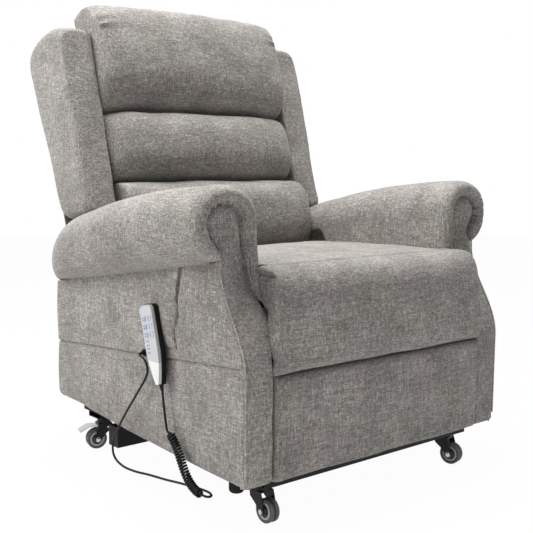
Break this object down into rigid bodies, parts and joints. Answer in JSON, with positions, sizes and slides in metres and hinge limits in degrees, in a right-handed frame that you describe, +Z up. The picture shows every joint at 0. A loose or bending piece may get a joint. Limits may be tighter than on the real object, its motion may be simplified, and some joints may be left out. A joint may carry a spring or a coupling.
{
  "type": "lift_recliner_chair",
  "caption": "Upholstered riser recliner armchair on castors, with a lifting base, reclining back, raising legrest, wired handset and linkages that move",
  "frame": {"origin": "on the floor under the middle of the chair's bounding box", "axes": "+X to the sitter's left (the right side seen from the front), -Y out of the chair's front, +Z up"},
  "size_m": [0.88, 0.878, 1.0998],
  "materials": {
    "upholstery": "grey tweed chenille with a soft nap",
    "black_steel": "black powder coat",
    "timber": "sawn hardwood and plywood",
    "spring_steel": "drawn spring wire",
    "rod_steel": "polished actuator rod",
    "black_plastic": "fine matt texture",
    "silver_plastic": "silver grey, satin",
    "key_blue": "soft blue keys",
    "cord_black": "smooth sheath",
    "foot_rubber": "moulded",
    "castor_grey": "grey treads on a pale hub",
    "pedal_grey": "silver grey"
  },
  "bodies": {
    "base": {"base_frame": "black_steel", "base_feet": "foot_rubber"},
    "castor_fl": {"castor_fork_fl": "black_steel"},
    "wheel_fl": {"castor_wheel_fl": "castor_grey"},
    "castor_fr": {"castor_fork_fr": "black_steel"},
    "wheel_fr": {"castor_wheel_fr": "castor_grey"},
    "castor_rl": {"castor_fork_rl": "black_steel"},
    "wheel_rl": {"castor_wheel_rl": "castor_grey"},
    "castor_rr": {"castor_fork_rr": "black_steel"},
    "wheel_rr": {"castor_wheel_rr": "castor_grey"},
    "brake_rl": {"brake_pedal_rl": "pedal_grey"},
    "brake_rr": {"brake_pedal_rr": "pedal_grey"},
    "front_links": {"front_lift_links": "black_steel"},
    "rear_links": {"rear_lift_links": "black_steel"},
    "lift_body": {"lift_motor": "black_plastic"},
    "lift_plunger": {"lift_rod": "rod_steel"},
    "seat": {"carriage": "black_steel", "seat_frame": "timber", "seat_springs": "spring_steel", "seat_cushion": "upholstery", "side_panel_left": "upholstery", "side_panel_right": "upholstery", "arm_inner_left": "upholstery", "arm_inner_right": "upholstery", "arm_roll_left": "upholstery", "arm_roll_right": "upholstery", "arm_front_left": "upholstery", "arm_front_right": "upholstery", "rear_panel": "upholstery", "handset_pocket": "upholstery", "control_box": "black_plastic", "handset_shell": "black_plastic", "handset_cover": "silver_plastic", "handset_lead": "cord_black", "curly_cord": "cord_black", "plain_cord": "cord_black", "cord_gland": "black_plastic"},
    "back": {"back_frame": "timber", "back_cover": "upholstery", "wing_left": "upholstery", "wing_right": "upholstery", "lumbar_pillow": "upholstery", "mid_pillow": "upholstery", "head_pillow": "upholstery"},
    "back_body": {"back_motor": "black_plastic"},
    "back_plunger": {"back_rod": "rod_steel"},
    "legrest": {"legrest_frame": "black_steel", "legrest_board": "timber", "legrest_pad": "upholstery", "chaise_pad": "upholstery"},
    "cranks": {"leg_cranks": "black_steel"},
    "couplers": {"leg_couplers": "black_steel"},
    "leg_body": {"leg_motor": "black_plastic"},
    "leg_plunger": {"leg_rod": "rod_steel"},
    "key_back_up": {"button_back_up": "key_blue"},
    "key_back_down": {"button_back_down": "key_blue"},
    "key_leg_up": {"button_leg_up": "key_blue"},
    "key_leg_down": {"button_leg_down": "key_blue"},
    "key_lift_up": {"button_lift_up": "key_blue"},
    "key_lift_down": {"button_lift_down": "key_blue"}
  },
  "joints": [
    {"name": "swivel_fl", "type": "hinge", "parent": "base", "child": "castor_fl", "pos_m": [-0.287, -0.367, 0.07], "axis": [0, 0, 1], "continuous": true},
    {"name": "roll_fl", "type": "hinge", "parent": "castor_fl", "child": "wheel_fl", "pos_m": [-0.287, -0.387, 0.025], "axis": [1, 0, 0], "continuous": true},
    {"name": "swivel_fr", "type": "hinge", "parent": "base", "child": "castor_fr", "pos_m": [0.287, -0.367, 0.07], "axis": [0, 0, 1], "continuous": true},
    {"name": "roll_fr", "type": "hinge", "parent": "castor_fr", "child": "wheel_fr", "pos_m": [0.29167, -0.38645, 0.025], "axis": [0.9724, 0.2334, 0], "continuous": true},
    {"name": "swivel_rl", "type": "hinge", "parent": "base", "child": "castor_rl", "pos_m": [-0.287, 0.244, 0.07], "axis": [0, 0, 1], "continuous": true},
    {"name": "roll_rl", "type": "hinge", "parent": "castor_rl", "child": "wheel_rl", "pos_m": [-0.30627, 0.24935, 0.025], "axis": [-0.2672, -0.9636, 0], "continuous": true},
    {"name": "swivel_rr", "type": "hinge", "parent": "base", "child": "castor_rr", "pos_m": [0.287, 0.244, 0.07], "axis": [0, 0, 1], "continuous": true},
    {"name": "roll_rr", "type": "hinge", "parent": "castor_rr", "child": "wheel_rr", "pos_m": [0.30579, 0.23716, 0.025], "axis": [0.342, 0.9397, 0], "continuous": true},
    {"name": "brake_rl", "type": "hinge", "parent": "castor_rl", "child": "brake_rl", "pos_m": [-0.28122, 0.2424, 0.055], "axis": [-0.2672, -0.9636, 0], "range_deg": [0, 8]},
    {"name": "brake_rr", "type": "hinge", "parent": "castor_rr", "child": "brake_rr", "pos_m": [0.28136, 0.24605, 0.055], "axis": [0.342, 0.9397, 0], "range_deg": [0, 8]},
    {"name": "lift", "type": "hinge", "parent": "base", "child": "front_links", "pos_m": [0, -0.3, 0.15], "axis": [1, 0, 0], "range_deg": [0, 70]},
    {"name": "seat_tilt", "type": "hinge", "parent": "front_links", "child": "seat", "pos_m": [0, -0.09, 0.175], "axis": [-1, 0, 0], "range_deg": [0, 50]},
    {"name": "rear_link", "type": "hinge", "parent": "base", "child": "rear_links", "pos_m": [0, -0.15, 0.138], "axis": [1, 0, 0], "range_deg": [0, 55.06]},
    {"name": "lift_drive", "type": "hinge", "parent": "base", "child": "lift_body", "pos_m": [0, 0.06, 0.13], "axis": [-1, 0, 0], "range_deg": [0, 7.1]},
    {"name": "lift_stroke", "type": "slide", "parent": "lift_body", "child": "lift_plunger", "axis": [0, -0.9354, 0.3536], "range_m": [0, 0.11712]},
    {"name": "legrest", "type": "hinge", "parent": "seat", "child": "legrest", "pos_m": [0, -0.365, 0.435], "axis": [-1, 0, 0], "range_deg": [0, 85]},
    {"name": "leg_crank", "type": "hinge", "parent": "seat", "child": "cranks", "pos_m": [0, -0.29, 0.32], "axis": [-1, 0, 0], "range_deg": [0, 80.82]},
    {"name": "leg_coupler", "type": "hinge", "parent": "cranks", "child": "couplers", "pos_m": [0, -0.302, 0.2006], "axis": [1, 0, 0], "range_deg": [0, 81.01]},
    {"name": "leg_drive", "type": "hinge", "parent": "seat", "child": "leg_body", "pos_m": [0.14, 0.045, 0.235], "axis": [-1, 0, 0], "range_deg": [0, 7.04]},
    {"name": "leg_stroke", "type": "slide", "parent": "leg_body", "child": "leg_plunger", "axis": [0, -0.9998, 0.0193], "range_m": [0, 0.0936]},
    {"name": "recline", "type": "hinge", "parent": "seat", "child": "back", "pos_m": [0, 0.17, 0.4], "axis": [-1, 0, 0], "range_deg": [0, 45]},
    {"name": "back_drive", "type": "hinge", "parent": "seat", "child": "back_body", "pos_m": [-0.14, -0.2, 0.29], "axis": [1, 0, 0], "range_deg": [0, 1.8]},
    {"name": "back_stroke", "type": "slide", "parent": "back_body", "child": "back_plunger", "axis": [0, -0.9997, -0.025], "range_m": [0, 0.07912]},
    {"name": "press_back_up", "type": "slide", "parent": "seat", "child": "key_back_up", "axis": [1, 0, 0], "range_m": [0, 0.001], "stiffness_N_per_m": 300},
    {"name": "press_back_down", "type": "slide", "parent": "seat", "child": "key_back_down", "axis": [1, 0, 0], "range_m": [0, 0.001], "stiffness_N_per_m": 300},
    {"name": "press_leg_up", "type": "slide", "parent": "seat", "child": "key_leg_up", "axis": [1, 0, 0], "range_m": [0, 0.001], "stiffness_N_per_m": 300},
    {"name": "press_leg_down", "type": "slide", "parent": "seat", "child": "key_leg_down", "axis": [1, 0, 0], "range_m": [0, 0.001], "stiffness_N_per_m": 300},
    {"name": "press_lift_up", "type": "slide", "parent": "seat", "child": "key_lift_up", "axis": [1, 0, 0], "range_m": [0, 0.001], "stiffness_N_per_m": 300},
    {"name": "press_lift_down", "type": "slide", "parent": "seat", "child": "key_lift_down", "axis": [1, 0, 0], "range_m": [0, 0.001], "stiffness_N_per_m": 300}
  ],
  "couplings": [
    {"joint": "seat_tilt", "follows": "lift", "ratio": 0.71429},
    {"joint": "rear_link", "follows": "lift", "ratio": 0.7865},
    {"joint": "lift_drive", "follows": "lift", "ratio": 0.10142},
    {"joint": "lift_stroke", "follows": "lift", "m_per_rad": 0.095862},
    {"joint": "leg_crank", "follows": "legrest", "ratio": 0.95072},
    {"joint": "leg_coupler", "follows": "legrest", "ratio": 0.95291},
    {"joint": "leg_drive", "follows": "legrest", "ratio": 0.082702},
    {"joint": "leg_stroke", "follows": "legrest", "m_per_rad": 0.063082},
    {"joint": "back_drive", "follows": "recline", "ratio": 0.039909},
    {"joint": "back_stroke", "follows": "recline", "m_per_rad": 0.10073}
  ]
}
